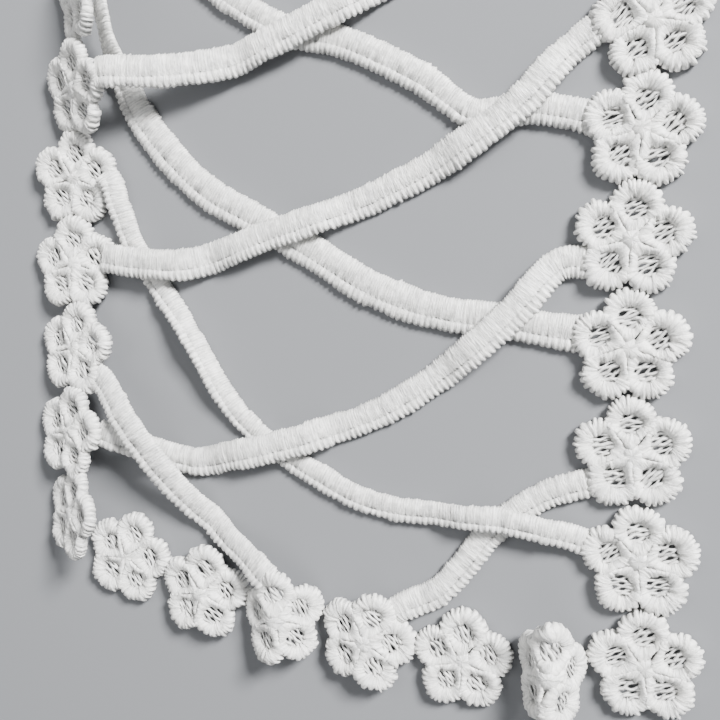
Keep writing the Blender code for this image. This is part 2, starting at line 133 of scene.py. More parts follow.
# Bands in the order in which they are laid. Columns: across, up and roll in degrees.
FRONT_BANDS = {
    "f": ((-84.6, 98.2, -40), (-80.3, 97.5, -40), (-80.1, 94, -40), (-79.9, 90.5, -40), (-79.1, 85, -15),
          (-77.2, 80, 0), (-73.6, 75.3, 0), (-69.5, 70.8, 0), (-65, 67.0, 0), (-60, 64.2, 0),
          (-54, 61.0, 0), (-48, 57.6, 0), (-41, 53.3, 0), (-34, 50.2, 0), (-27, 48.4, 0),
          (-20, 47.6, 0), (-14, 46.4, 0), (-2.8, 44.1, 0)),
    "e": ((-90.6, 112, 0), (-78, 109.5, 0), (-70, 103.5, 0), (-61, 96, 0), (-52, 90.6, 0),
          (-44, 88.4, 0), (-37, 85, 0), (-31, 81.6, 0), (-27, 78.4, 0), (-23.5, 76.4, 0),
          (-15, 76.6, 0), (-1.4, 72.8, 0)),
    "d": ((-39.9, -0.3, 0), (-35.3, 4.6, 0), (-29.4, 7.6, 0), (-25.3, 12.0, 0), (-21.7, 16.9, 0),
          (-17, 21.0, 0), (-12, 23.8, 0), (-1.9, 29.6, 0)),
    "g": ((-88.7, 70.6, 30), (-81.9, 69.5, 30), (-81.1, 66, 20), (-78.9, 60, 0), (-75.0, 54, 0),
          (-71.7, 49.5, 25), (-68.7, 45, 52), (-65.8, 40, 42), (-62.8, 35.4, 20), (-59.4, 31.5, 0),
          (-53.6, 27.3, 0), (-48, 24.2, 0), (-42, 21.2, 0), (-36, 19.8, 0), (-28, 19.5, 0),
          (-20, 19.3, 0), (-13, 18.2, 0), (-0.8, 15.0, 0)),
    "a": ((-86.2, 84.0, 0), (-79.5, 85.3, 0), (-70, 85.2, 0), (-60, 86.7, 0), (-50, 90.2, 0),
          (-40, 94.2, 0), (-28, 100.9, 0), (-15, 109.2, 0), (0, 115.2, 0)),
    "b": ((-89.2, 56.7, 0), (-78.4, 56.8, 0), (-70, 56.2, 0), (-63, 57.7, 0), (-55, 60.3, 0),
          (-48, 62.3, 0), (-39, 65.4, 0), (-30, 69.4, 0), (-22, 74.0, 0), (-16.1, 78.5, 0),
          (-10.9, 84.1, 0), (-0.2, 87.2, 0)),
    "c": ((-89.4, 29.3, 0), (-81.3, 29, 0), (-75.4, 27, 0), (-68.5, 25.2, 0), (-61.5, 26.6, 0),
          (-53.5, 28.6, 0), (-44.6, 31.4, 0), (-37.2, 34.4, 0), (-29.4, 39.3, 0), (-23.3, 44.0, 0),
          (-17.7, 49.3, 0), (-11.9, 55.4, 0), (-2.5, 58.5, 0)),
    "h": ((-88.7, 43.0, 0), (-82.3, 37.4, 0), (-77.3, 31.3, 0), (-73.2, 25.0, 0), (-68.8, 19.1, 0),
          (-63.5, 14.3, 0), (-57.5, 10.5, 0), (-53.3, 2.3, 0)),
}
# Places of the other front's bands that differ. Columns: band, place, across, up.
RIGHT_BAND_CHANGES = (
    ("h", 5, -62.0, 14.8),
    ("h", 6, -55.6, 10.6),
    ("d", 1, -36.4, 5.4),
    ("d", 2, -30.2, 9.6),
)
SIDES = (("left", -1), ("right", 1))
# Half of the ring's bands. Columns: outer flower, neck level, and swing towards the hem.
RING_BANDS = (
    (4, 7, 3.0),
    (9, 9, 4.0),
    (14, 11, 4.0),
    (18, 13, 4.0),
    (22, 15, 3.0),
    (2, 10, -3.0),
    (7, 12, -4.0),
    (11, 14, -4.0),
)

# The rims' form, from the net outwards. Columns: share of the way to the edge, height at a free edge,
# height where two petals meet, and how much a stitch stands out of its row.
RIM_ROWS = (
    (0.00, 0.50, 0.50, 0.2),
    (0.15, 1.20, 1.16, 0.1),
    (0.50, 1.62, 1.52, 0.1),
    (0.84, 1.50, 1.62, 0.25),
    (1.00, 0.72, 1.30, 1.2),
)
RIM_STITCHES = 24  # round one petal
STITCH_CORNERS = (0.0, 0.30, 0.70)  # in shares of a stitch: its groove, then its crest
STITCH_WIDTHS = (0.6, 1.4)
CREST_MIDDLE = 0.6  # between a groove, 0, and a crest, 1
RIM_OVERLAP = 0.42  # how far the stitches of two petals reach into each other
RIM_TUCK = 0.16  # how far the underside's edge is drawn in
UNDERSIDE = 0.06  # height of the stitches' underside
CREST_HEIGHT = 0.24  # of a stitch over its grooves
# Painted shade, darkening the thread's colour: in the grooves between a rim's stitches, and where the rim
# drops to the net.
GROOVE_SHADES = (0.45, 0.35)  # where two petals meet, and what a free edge adds
NET_END_SHADE = 0.6
INWARD_RANGE = (0.2, 0.8)  # of the cosine to the flower's middle, over which a rim runs on to it
FREE_RANGE = (-0.15, 0.5)  # of the distance to the next petal, over which an edge becomes free
LEAST_FACING = 0.05  # keeps a petal's border from going out to infinity

# How uneven the stitches are, as usual differences: millimetres, radians for the swirl, the lean and
# the turn, and degrees for the slant.
RIM_UNEVEN = {"stitch end": 0.12, "net end": 0.13, "petal": 0.09, "lumps": 0.11, "rise": 0.07,
              "row": 0.02, "swirl": 0.06, "lean": 0.08}
NET_UNEVEN = {"slant": 10, "place": 0.06, "turn": 0.10, "height": 0.06}
MIDDLE_UNEVEN = {"place": 0.15, "radius": 0.07, "height": 0.025}
BAND_UNEVEN = {"stitch end": 0.06, "nick": 0.07, "stitch height": 0.028, "height": 0.05}

# The net's outline: its middle, from the petal's middle towards the flower's, and its half sizes
# along and across that line.
NET_SHIFT = 0.45
NET_HALF = (1.22, 1.46)
NET_REACH = sum(NET_HALF) / 2 + 0.4  # half of the longest thread, whose ends the rim hides
NET_THREADS = 7
NET_PITCH = 0.45
NET_POINTS = 8  # along a thread
NET_HEIGHT = 0.78
NET_THREAD_HEIGHT = 0.30
NET_THREAD_WIDTHS = (0.75, 1.35)
NET_SWAY = (0.09, 0.21)  # how far a thread swings to its neighbours
NET_WAVES = (2.3, 3.3)  # radians of its swing for each millimetre

# The lump at a flower's middle, from its top down. Columns: radius, height.
MIDDLE_ROWS = ((0.30, 1.82), (0.80, 1.76), (1.30, 1.50), (1.5, 1.1), (0.3, 1.0))
MIDDLE_CORNERS = 12

# A band's cross-section. Columns: share of the width, height, and 1 where stitches groove it, which
# they don't on the split line between the two rows and on the underside.
BAND_PROFILE = (
    (-0.50, 0.42, 1),
    (-0.44, 0.90, 1),
    (-0.18, 1.17, 1),
    (0.13, 1.12, 1),
    (0.17, 0.87, 0),
    (0.21, 1.08, 1),
    (0.34, 1.12, 1),
    (0.45, 0.86, 1),
    (0.50, 0.40, 1),
    (0.42, 0.06, 0),
    (-0.42, 0.06, 0),
)
# The stitches of a band's upper and lower row. Columns: how far they stand out at the edge, how deep
# their grooves are, and how dark the painted shade in their grooves is.
BAND_STITCHES = ((0.14, 0.06, 0.3), (0.25, 0.14, 0.5))
INNER_STAND = 0.04  # how far they stand out elsewhere
SPLIT_WAVE = 0.20  # how much the split line rises and falls
HOLE_DEPTH = 0.5
# Painted shade in a needle hole.
HOLE_SHADE = 0.6
BAND_SPLIT = 0.18  # share of the width at which the upper row of stitches ends
BAND_TOP = 0.2  # least height of what isn't the underside
BAND_EDGE = 0.4  # least share of the width that is an edge
BAND_REACH = 1.7  # from a petal's middle to the end of the band that is sewn under its rim
BAND_TAPER = 1.8  # length over which an end grows to its full thickness
LOWER_WAVE = (0.0, 0.75, 1.0, 0.75)  # a stitch of the lower row, which spans two of the upper row
NEEDLE_HOLES = 0.22  # share of the stitches that have one
BAND_SWELLS = ((0.035, 7.0), (0.02, 2.3))  # share by which the width swells, and over what length
NICK_PLACES = 14  # places in a stretch whose edges are nicked alike
SLOW_PLACES = 6  # places between two changes of height
MEAN_PLACES = 9  # places in the running mean of a band's course and height

# How the thread's surface, and the shade painted on it, are laid on. Streaks for each millimetre along and
# across a stitch, and how much they differ from stitch to stitch. The shade numbers say how strongly painted
# shade darkens the colour.
STREAKS = (0.8, 3.0, 7.0)
HOLLOW_SHADE = 0.9
VALLEY_SHADE = 0.42
CLUMP_SHADE = 1.1
WARMTH = (1.03, 1.0, 0.95)

# The web under the stitches. A petal's web keeps inside its rim, and a band's inside its width.
WEB_CORNERS = 12
WEB_INSETS = (0.18, 0.35)  # from the net's edge outwards, and from the petal's edge inwards
PETAL_WEB = (0.02, 0.4)  # its underside and its top
BAND_WEB = (0.15, 0.5)
BAND_WEB_SHARE = 0.42  # of the band's width, to each side
BAND_WEB_STEP = 4  # places of the course from one ring of it to the next

# The camera, measured from the left front's corner flower. Its lens and turn are the photograph's.
CAMERA_PLACE = (-0.1, 51.1, 127.2)
CAMERA_TURN = (-4.16, 17.83, -0.42)
CAMERA_LENS = 45.0
CAMERA_SENSOR = 36.0

# Columns: name, place in metres, width in metres, and power in watts.
LIGHTS = (
    ("key", (0.50, 0.42, 0.50), 0.25, 42.0),
    ("fill", (-0.7, 0.1, 0.7), 0.9, 5.0),
    ("front", (0.1, -0.9, 0.8), 0.9, 3.5),
)
SKY_COLOUR = (0.9, 0.95, 1.0, 1)
SKY_STRENGTH = 0.16
FLOOR_SIZE = 6.0  # metres
FLOOR_HEIGHT = -0.0001  # metres


class LaceSizes(bpy.types.PropertyGroup):
    """Sizes of the stitches, and the seed of their unevenness."""

    petal_radius: bpy.props.FloatProperty(
        name="Petal radius", description="From a petal's middle to the ends of its stitches",
        default=0.00347, unit="LENGTH")
    net_thread: bpy.props.FloatProperty(
        name="Net thread", description="Width of a thread of the net",
        default=0.00046, unit="LENGTH")
    satin_pitch: bpy.props.FloatProperty(
        name="Satin pitch", description="From one satin stitch of a band to the next",
        default=0.00043, unit="LENGTH")
    tooth: bpy.props.FloatProperty(
        name="Tooth", description="How far the stitch ends stand out along a free edge",
        default=0.00036, unit="LENGTH")
    seed: bpy.props.IntProperty(
        name="Seed", description="Picks the unevenness of the stitches", default=7)


class LaceColours(bpy.types.PropertyGroup):
    """Colours and finish of the thread and the floor, and the colour of the shade painted between the
    stitches.
    """

    thread: bpy.props.FloatVectorProperty(
        name="Thread", description="Colour of the thread in full light",
        default=(0.91, 0.91, 0.895), size=3, subtype="COLOR")
    # Painted shade: the thread's colour is mixed towards this colour in grooves, hollows and under the
    # stitches.
    shade: bpy.props.FloatVectorProperty(
        name="Thread in the grooves", description="Colour deep between the stitches",
        default=(0.36, 0.36, 0.355), size=3, subtype="COLOR")
    floor: bpy.props.FloatVectorProperty(
        name="Floor", description="Colour of the floor",
        default=(0.185, 0.19, 0.20), size=3, subtype="COLOR")
    roughness: bpy.props.FloatProperty(
        name="Thread roughness", description="Mean roughness of the thread",
        default=0.42, min=0.0, max=1.0, subtype="FACTOR")


def turned(x, y, angle):
    """Turns points of a plane about its origin."""
    return x * np.cos(angle) - y * np.sin(angle), x * np.sin(angle) + y * np.cos(angle)


class Flower:
    """One flower: where its middle is, how it lies, and how high it is lifted.

    Heading is the direction in plan, in degrees from X, in which its first petal points.
    """

    def __init__(self, x, y, heading, scale, slant, tilt=0.0, fold=0.0):
        self.x = x
        self.y = y
        self.heading = math.radians(heading - 90)
        self.tilt = math.radians(tilt)
        self.fold = math.radians(fold)
        self.rake = 0.0
        self.lift = 0.0
        self.scale = scale
        self.slant = slant
        self.turn = 0.0

    def place(self, points):
        """Moves points of the flat flower, a row each, to where the flower lies."""
        across, along, height = np.asarray(points, float).T
        reach = np.hypot(across, FOLD_ROUND)
        lean = np.arctan2(across * math.sin(self.fold), reach * math.cos(self.fold))
        x = across * math.cos(self.fold) + height * np.sin(lean)
        z = -math.sin(self.fold) * (reach - FOLD_ROUND) + height * np.cos(lean)
        x, z = turned(x, z, self.tilt)
        y, z = turned(along, z, self.rake)
        x, y = turned(x, y, self.heading)
        return np.stack([self.x + x, self.y + y, self.lift + z], axis=1)

    def petal_axis(self, petal):
        """The direction from the flower's middle to a petal's."""
        return math.radians(90 + petal * 360 / PETALS)

    def lobes(self):
        """The middle of each petal's underside, a row for each petal."""
        angles = [self.petal_axis(petal) for petal in range(PETALS)]
        reach = PETAL_PLACE * self.scale
        return self.place([(reach * math.cos(angle), reach * math.sin(angle), 0) for angle in angles])

    def settle(self):
        """Lifts the flower until the lowest point of its edge is on the ground."""
        edge = []
        for petal in range(PETALS):
            axis = self.petal_axis(petal) + self.turn
            for side in FREE_EDGE:
                edge.append((PETAL_PLACE * math.cos(axis) + PETAL_RADIUS * math.cos(axis + side),
                             PETAL_PLACE * math.sin(axis) + PETAL_RADIUS * math.sin(axis + side), 0))
        self.lift -= self.place(np.array(edge) * self.scale)[:, 2].min()

    def turn_petals(self, degrees):
        """Turns the petals on the flower, once the bands' courses are known."""
        self.turn = math.radians(degrees)
        self.settle()


def rake_chain(flowers):
    """Leans each flower along its chain, so that it meets lifted neighbours, and settles it."""
    for flower in flowers:
        flower.settle()
    lifts = [flower.lift for flower in flowers]
    for index, flower in enumerate(flowers):
        before = max(index - 1, 0)
        after = min(index + 1, len(flowers) - 1)
        step = np.array([flowers[after].x - flowers[before].x, flowers[after].y - flowers[before].y])
        length = np.linalg.norm(step)
        along = np.array([-math.sin(flower.heading), math.cos(flower.heading)])
        climb = math.atan((lifts[after] - lifts[before]) / length)
        flower.rake = climb * float(step @ along) / length
        flower.settle()


def front_edges(side):
    """The flowers of one front, by edge. Side is -1 for the left front and 1 for the right."""
    tables = {"neck": NECK_EDGE, "outer": OUTER_EDGE, "hem": HEM}
    changes = {(edge, flower): (tilt, fold) for edge, flower, tilt, fold in RIGHT_CHANGES}
    edges = {}
    for edge, table in tables.items():
        flowers = []
        for index, (across, up, tilt, fold, _) in enumerate(table):
            if side > 0:
                tilt, fold = changes.get((edge, index), (tilt, fold))
            scale, slant = (1.0, NECK_SLANT) if edge == "neck" else (EDGE_SCALE, EDGE_SLANT)
            x = side * (NECK_RADIUS - across)
            flowers.append(Flower(x, up - MIDDLE_Y, -90 * side, scale, slant, tilt, fold))
        edges[edge] = flowers
    rake_chain(edges["outer"])
    for flower in edges["neck"] + edges["hem"]:
        flower.settle()
    return edges


def ring_edge(radius, steps, start, scale, slant):
    """The flowers of one edge of the half ring, from the left front to the right one."""
    flowers = []
    for step in range(steps + 1):
        angle = 180 + start - step * (180 + 2 * start) / steps
        x = radius * math.cos(math.radians(angle))
        y = RING_Y - MIDDLE_Y + radius * math.sin(math.radians(angle))
        flowers.append(Flower(x, y, angle - 90, scale, slant))
    return flowers


def smooth_course(places):
    """A smooth curve through the places, as points about COURSE_STEP apart."""
    places = [np.array(place, float) for place in places]
    course = []
    padded = [places[0]] + places + [places[-1]]
    for p, q, r, s in zip(padded, padded[1:], padded[2:], padded[3:]):
        count = max(1, round(math.dist(q[:2], r[:2]) / COURSE_STEP))
        t = np.arange(count)[:, None] / count
        course.append(0.5 * (2 * q + (r - p) * t + (2 * p - 5 * q + 4 * r - s) * t ** 2
                             + (3 * q - p - 3 * r + s) * t ** 3))
    course.append(places[-1][None])
    return np.concatenate(course)


def ring_course(outer, inner, swing):
    """The places of a band of the ring, from a flower of its outer edge to one of its neck edge."""
    centre_y = RING_Y - MIDDLE_Y
    outer_angle = math.atan2(outer.y - centre_y, outer.x)
    inner_angle = math.atan2(inner.y - centre_y, inner.x)
    if inner_angle - outer_angle > math.pi:
        outer_angle += 2 * math.pi
    if outer_angle - inner_angle > math.pi:
        inner_angle += 2 * math.pi
    inner_radius = math.hypot(inner.x, inner.y - centre_y)
    places = []
    for share in np.linspace(0, 1, RING_BAND_PLACES):
        turn = share - RING_BAND_BEND * math.sin(2 * math.pi * share)
        radius = OUTER_RADIUS + (inner_radius - OUTER_RADIUS) * share
        angle = outer_angle + (inner_angle - outer_angle) * turn
        angle += swing / radius * math.sin(math.pi * share)
        places.append((radius * math.cos(angle), centre_y + radius * math.sin(angle), 0.0))
    return places


def nearest_flower(end, flowers):
    """The flower that a band's end is sewn to."""
    return min(flowers, key=lambda one: math.dist((one.x, one.y), end[:2]))


def nearest_petal(flower, before):
    """The petal that a band comes to first."""
    return min(flower.lobes(), key=lambda lobe: math.dist(lobe[:2], before[:2]))


class Band:
    """A satin band: its course in plan, its roll along it and its height."""

    def __init__(self, name, width, places, flowers, lower_side):
        self.name = name
        self.width = width
        self.lower_side = lower_side
        own = [nearest_flower(places[0], flowers), nearest_flower(places[-1], flowers)]
        ends = [nearest_petal(own[0], places[1]), nearest_petal(own[1], places[-2])]
        self.whole = smooth_course([(*ends[0][:2], places[0][2]), *places[1:-1],
                                    (*ends[1][:2], places[-1][2])])
        self.start, self.end = self.trimmed(self.whole, flowers, ends)
        self.course = self.whole[self.start:self.end]
        self.heights = np.zeros(len(self.course))
        self.heights[[0, -1]] = [min(end[2], BAND_END_HEIGHT) for end in ends]
        roll = np.radians(self.course[:, 2])
        self.depth = BAND_THICKNESS * np.cos(roll) + width * np.abs(np.sin(roll))

    @staticmethod
    def directions(course):
        """The unit directions of a course in plan."""
        along = np.gradient(course[:, :2], axis=0)
        return along / np.linalg.norm(along, axis=1, keepdims=True)

    def trimmed(self, course, flowers, ends):
        """Where a course's whole width stays clear of the petals, or passes below them."""
        along = self.directions(course)
        width = self.width * np.cos(np.radians(course[:, 2]))
        across = np.stack([along[:, 1], -along[:, 0]], axis=1) * width[:, None]
        petals = []
        reach = []
        for flower in flowers:
            radius = PETAL_RADIUS * flower.scale
            for lobe in flower.lobes():
                sewn = min(math.dist(lobe, end) for end in ends) < SEAM
                if sewn or lobe[2] - radius * math.sin(abs(flower.tilt)) < PASSING_HEIGHT:
                    petals.append(lobe[:2])
                    reach.append(radius + SEAM)
        clear = np.ones(len(course), bool)
        for share in CLEAR_SHARES:
            edge = course[:, :2] + across * share
            away = np.linalg.norm(edge[:, None] - np.array(petals)[None], axis=2)
            clear &= (away > np.array(reach)).all(axis=1)
        middle = len(course) // 2
        blocked = np.flatnonzero(~clear)
        return blocked[blocked < middle].max() + 1, blocked[blocked > middle].min()

    def lay_over(self, laid):
        """Raises the band to pass over those already laid, and to reach its flowers."""
        for other in laid:
            away = np.linalg.norm(self.course[:, None, :2] - other.course[None, :, :2], axis=2)
            tops = other.heights + other.depth + BAND_GAP
            under = np.where(away < (self.width + other.width) / 2 + BAND_GAP, tops, 0.0)
            self.heights = np.maximum(self.heights, under.max(axis=1))
        numbers = np.arange(len(self.course))
        steps = np.abs(np.subtract.outer(numbers, numbers))
        self.heights = (self.heights[None] - BAND_SLOPE * COURSE_STEP * steps).max(axis=1)
        self.heights = np.maximum(self.heights, 0.0)

    def sewn(self):
        """The course and heights of the stitches, which run on under the petals' rims at both ends."""
        outside = [np.linalg.norm(self.whole[:, :2] - end[:2], axis=1) >= BAND_REACH
                   for end in self.whole[[0, -1]]]
        start = min(np.flatnonzero(outside[0])[0], self.start)
        end = max(np.flatnonzero(outside[1])[-1] + 1, self.end)
        heights = np.pad(self.heights, (self.start - start, end - self.end), mode="edge")
        return self.whole[start:end], heights

    def lay_sections(self, middles, along, base, across, up):
        """Points of cross-sections along the band, a row for each place and a column for each corner."""
        side = np.stack([along[:, 1], -along[:, 0]], axis=1) * self.lower_side
        points = [middles[:, :1] + side[:, :1] * across, middles[:, 1:2] + side[:, 1:] * across,
                  base[:, None] + up]
        return np.stack(points, axis=-1).reshape(-1, 3)


class Layout:
    """Where every flower and band of the patch lies."""

    def __init__(self):
        left = front_edges(-1)
        right = front_edges(1)
        neck = ring_edge(NECK_RADIUS, NECK_STEPS, 0.0, 1.0, NECK_SLANT)
        outer = ring_edge(OUTER_RADIUS, OUTER_STEPS, OUTER_START, EDGE_SCALE, EDGE_SLANT)
        half = len(outer) // 2
        self.flowers = {
            "left_front": left["neck"] + left["outer"] + left["hem"],
            "right_front": right["neck"] + right["outer"] + right["hem"],
            "back_neck": neck,
            "back_outer_left": outer[:half],
            "back_outer_right": outer[half:],
        }
        everything = [flower for flowers in self.flowers.values() for flower in flowers]
        self.bands = self.front_bands(everything) + self.ring_bands(left["neck"], neck, outer, everything)
        laid = []
        for band in self.bands:
            band.lay_over(laid)
            laid.append(band)
        for side, edges in ((-1, left), (1, right)):
            for edge, table in (("neck", NECK_EDGE), ("outer", OUTER_EDGE), ("hem", HEM)):
                for flower, row in zip(edges[edge], table):
                    flower.turn_petals(-side * row[-1])
        rng = np.random.default_rng(RING_SEED)
        for flower in neck + outer:
            flower.turn_petals(rng.normal(0, RING_TURN))

    @staticmethod
    def front_bands(flowers):
        """The bands of both fronts, in the order in which they are laid."""
        bands = []
        for letter, places in FRONT_BANDS.items():
            for name, side in SIDES:
                moved = [(side * (NECK_RADIUS - across), up - MIDDLE_Y, roll) for across, up, roll in places]
                for band, place, across, up in RIGHT_BAND_CHANGES:
                    if side > 0 and band == letter:
                        moved[place] = (NECK_RADIUS - across, up - MIDDLE_Y, 0)
                bands.append(Band(f"band_{name}_{letter}", BAND_WIDTHS[letter], moved, flowers, -side))
        return bands

    @staticmethod
    def ring_bands(front_neck, neck, outer, flowers):
        """The bands of the half ring. Those of its right half mirror those of its left."""
        bands = []
        levels = front_neck + neck
        for number, (outer_flower, level, swing) in enumerate(RING_BANDS, 1):
            for name, side in SIDES:
                places = ring_course(outer[outer_flower], levels[level], swing)
                moved = [(-side * x, y, roll) for x, y, roll in places]
                bands.append(Band(f"band_back_{name}_{number}", RING_BAND_WIDTH, moved, flowers, -side))
        return bands


LAYOUT = Layout()
# The solids that each piece of flowers stands for, by the start of their names.
FLOWER_NODES = {
    "left_front": ("chain_left_",),
    "right_front": ("chain_right_",),
    "back_neck": ("chain_back_neck_",),
    "back_outer_left": ("chain_back_outer_1", "chain_back_outer_2", "chain_back_outer_3"),
    "back_outer_right": ("chain_back_outer_4", "chain_back_outer_5", "chain_back_outer_6"),
}


def ring_faces(rows, columns):
    """The four-cornered faces of a grid that closes on itself both ways."""
    grid = np.arange(rows * columns).reshape(rows, columns)
    beside = np.roll(grid, -1, axis=1)
    faces = [grid, beside, np.roll(beside, -1, axis=0), np.roll(grid, -1, axis=0)]
    return np.stack(faces, axis=-1).reshape(-1, 4)


class Stitching:
    """Gathers the forms of one piece and makes one mesh of them."""

    def __init__(self):
        self.points = []
        self.quads = []
        self.caps = []
        self.strands = []
        self.painted_shade_amounts = []
        self.count = 0

    def add(self, points, quads, strand, hollow, caps=()):
        """Adds a closed form. Strand is along, across and tone at each point, in millimetres."""
        points = np.asarray(points, float)
        corners = points[quads]
        middle = points.mean(axis=0)
        diagonal = np.cross(corners[:, 2] - corners[:, 0], corners[:, 3] - corners[:, 1])
        if ((corners.mean(axis=1) - middle) * diagonal).sum() < 0:  # the faces look inwards
            quads = quads[:, ::-1]
            caps = [cap[::-1] for cap in caps]
        self.points.append(points)
        self.quads.append(quads + self.count)
        self.caps += [np.asarray(cap) + self.count for cap in caps]
        self.strands.append(np.broadcast_to(strand, points.shape))
        self.painted_shade_amounts.append(np.broadcast_to(hollow, len(points)))
        self.count += len(points)

    def add_tube(self, points, corners, strand, hollow, ends=1):
        """Adds a tube of rings with so many corners each, closed at both ends.

        With ends at 1 the end faces look inwards, with -1 outwards like the sides.
        """
        last = len(points)
        quads = ring_faces(last // corners, corners)[:last - corners]
        caps = [np.arange(corners)[::ends], np.arange(last - corners, last)[::-ends]]
        self.add(points, quads, strand, hollow, caps)

    def build(self, name):
        """Makes the object."""
        points = np.concatenate(self.points)
        points[:, 2] = np.maximum(points[:, 2], 0.0)  # what reaches the surface lies flat on it
        quads = np.concatenate(self.quads)
        corners = np.concatenate([quads.ravel()] + self.caps)
        sizes = np.array([4] * len(quads) + [len(cap) for cap in self.caps])
        mesh = bpy.data.meshes.new(name)
        mesh.vertices.add(self.count)
        mesh.vertices.foreach_set("co", (points * MM).ravel())
        mesh.loops.add(len(corners))
        mesh.loops.foreach_set("vertex_index", corners.astype(np.int32))
        mesh.polygons.add(len(sizes))
        starts = np.concatenate([[0], np.cumsum(sizes)[:-1]])
        mesh.polygons.foreach_set("loop_start", starts.astype(np.int32))
        mesh.update(calc_edges=True)
        mesh.validate()
        mesh.shade_smooth()
        strand = mesh.attributes.new("strand", "FLOAT_VECTOR", "POINT")
        strand.data.foreach_set("vector", np.concatenate(self.strands).astype(np.float32).ravel())
        # How strongly painted shade darkens the thread's colour at each point.
        hollow = mesh.attributes.new("hollow", "FLOAT", "POINT")
        hollow.data.foreach_set("value", np.concatenate(self.painted_shade_amounts).astype(np.float32))
        mesh.materials.append(thread_material())
        piece = bpy.data.objects.new(name, mesh)
        bpy.context.collection.objects.link(piece)
        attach(piece, "root")
        return piece


def ease(low, high, values):
    """A smooth step from 0 to 1."""
    share = np.clip((values - low) / (high - low), 0, 1)
    return share * share * (3 - 2 * share)


class Petal:
    """The shape of one petal on the flat flower, in its own polar grid."""

    def __init__(self, flower, petal, sizes):
        self.axis = flower.petal_axis(petal) + flower.turn
        self.scale = flower.scale
        self.place = PETAL_PLACE * flower.scale
        self.radius = sizes.petal_radius / MM * flower.scale
        self.half_spacing = self.place * math.sin(math.pi / PETALS)

    def border(self, angles):
        """How far the petal's share of the flower reaches in each direction."""
        lean = math.pi / 2 + math.pi / PETALS
        facing = np.maximum(np.cos(angles - lean), np.cos(angles + lean))
        return self.half_spacing / np.maximum(facing, LEAST_FACING)

    def net_edge(self, angles):
        """The radius at which the rim starts."""
        along, across = NET_HALF
        a = np.cos(angles) ** 2 / along ** 2 + np.sin(angles) ** 2 / across ** 2
        b = NET_SHIFT * np.cos(angles) / along ** 2
        c = NET_SHIFT ** 2 / along ** 2 - 1
        return self.scale * (np.sqrt(b * b - a * c) - b) / a

    def to_flower(self, radii, angles, heights):
        """Points of the petal's polar grid on the flat flower."""
        angles = angles + self.axis
        x = self.place * math.cos(self.axis) + radii * np.cos(angles)
        y = self.place * math.sin(self.axis) + radii * np.sin(angles)
        return np.stack([x, y, heights], axis=-1)


def stitch_rim(stitching, flower, petal, sizes, rng):
    """The fan stitches round one petal, as one closed ring."""
    tooth = sizes.tooth / MM
    corner = np.tile(STITCH_CORNERS, RIM_STITCHES)
    number = np.repeat(np.arange(RIM_STITCHES), len(STITCH_CORNERS))

    def uneven(what):
        """A difference for each stitch, at each of its corners."""
        return rng.normal(0, RIM_UNEVEN[what], RIM_STITCHES)[number]

    crest = np.where(corner > 0, 1.0, 0.0)
    widths = rng.uniform(*STITCH_WIDTHS, RIM_STITCHES)
    starts = np.concatenate([[0], np.cumsum(widths)[:-1]])
    angles = (starts[number] + widths[number] * corner) * 2 * math.pi / widths.sum() + rng.uniform(0, 6)
    inward = ease(*INWARD_RANGE, -np.cos(angles))
    ends = uneven("stitch end")
    lumps = rng.normal(0, RIM_UNEVEN["lumps"], RIM_STITCHES)
    lumps = (lumps + np.roll(lumps, 1)) * 0.7
    lumps = np.interp(number + corner, np.arange(RIM_STITCHES + 1), np.append(lumps, lumps[0]))
    reach = petal.radius + ends + rng.normal(0, RIM_UNEVEN["petal"]) + inward * petal.place
    border = petal.border(angles)
    free = ease(*FREE_RANGE, border - reach)
    outer = np.minimum(reach + (crest - CREST_MIDDLE) * tooth * (0.3 + 0.7 * free),
                       border + RIM_OVERLAP * (1 - inward))
    inner = petal.net_edge(angles) + uneven("net end")
    swirl = rng.normal(0.0, RIM_UNEVEN["swirl"])
    rise = uneven("rise")
    tone = rng.uniform(0, 1, RIM_STITCHES)[number]
    lean = rng.normal(0, RIM_UNEVEN["lean"])
    round_rim = angles * petal.radius * 0.75
    rows = []
    strands = []
    painted_shade_amounts = []
    for share, free_height, border_height, stand in RIM_ROWS:
        radii = inner + (outer - inner) * share
        heights = border_height + (free_height - border_height) * free + lean * np.cos(angles) * share
        heights = heights + stand * ((crest - CREST_MIDDLE) * CREST_HEIGHT + rise)
        heights = heights + lumps * math.sin(math.pi * share) + uneven("row")
        swirled = angles + swirl * share + uneven("row")
        rows.append(petal.to_flower(radii, swirled, heights))
        strands.append(np.stack([radii, round_rim, tone], axis=1))
        # Painted shade: the grooves between stitches, and the rim's edge at the net, are darkened in colour.
        hollow = (1 - crest) * stand * (GROOVE_SHADES[0] + GROOVE_SHADES[1] * free)
        painted_shade_amounts.append(hollow + (NET_END_SHADE if share == 0 else 0.0))
    rows.append(petal.to_flower(outer - RIM_TUCK, angles, np.full(len(angles), UNDERSIDE)))
    strands.append(np.stack([outer - RIM_TUCK, round_rim, tone], axis=1))
    # Painted shade on the rim's underside.
    painted_shade_amounts.append(np.full(len(angles), 0.4))
    points = flower.place(np.concatenate(rows))
    quads = ring_faces(len(rows), len(angles))
    stitching.add(points, quads, np.concatenate(strands), np.concatenate(painted_shade_amounts))


def thread_tube(route, width, height):
    """The rings of a thread along a route of points, three corners to a ring."""
    along = np.gradient(route, axis=0)
    along /= np.linalg.norm(along, axis=1, keepdims=True)
    side = np.stack([along[:, 1], -along[:, 0], np.zeros(len(route))], axis=1)
    up = np.cross(side, along)
    corners = [side * width / 2, up * height / 2, -side * width / 2]
    return np.stack([route + corner for corner in corners], axis=1).reshape(-1, 3)


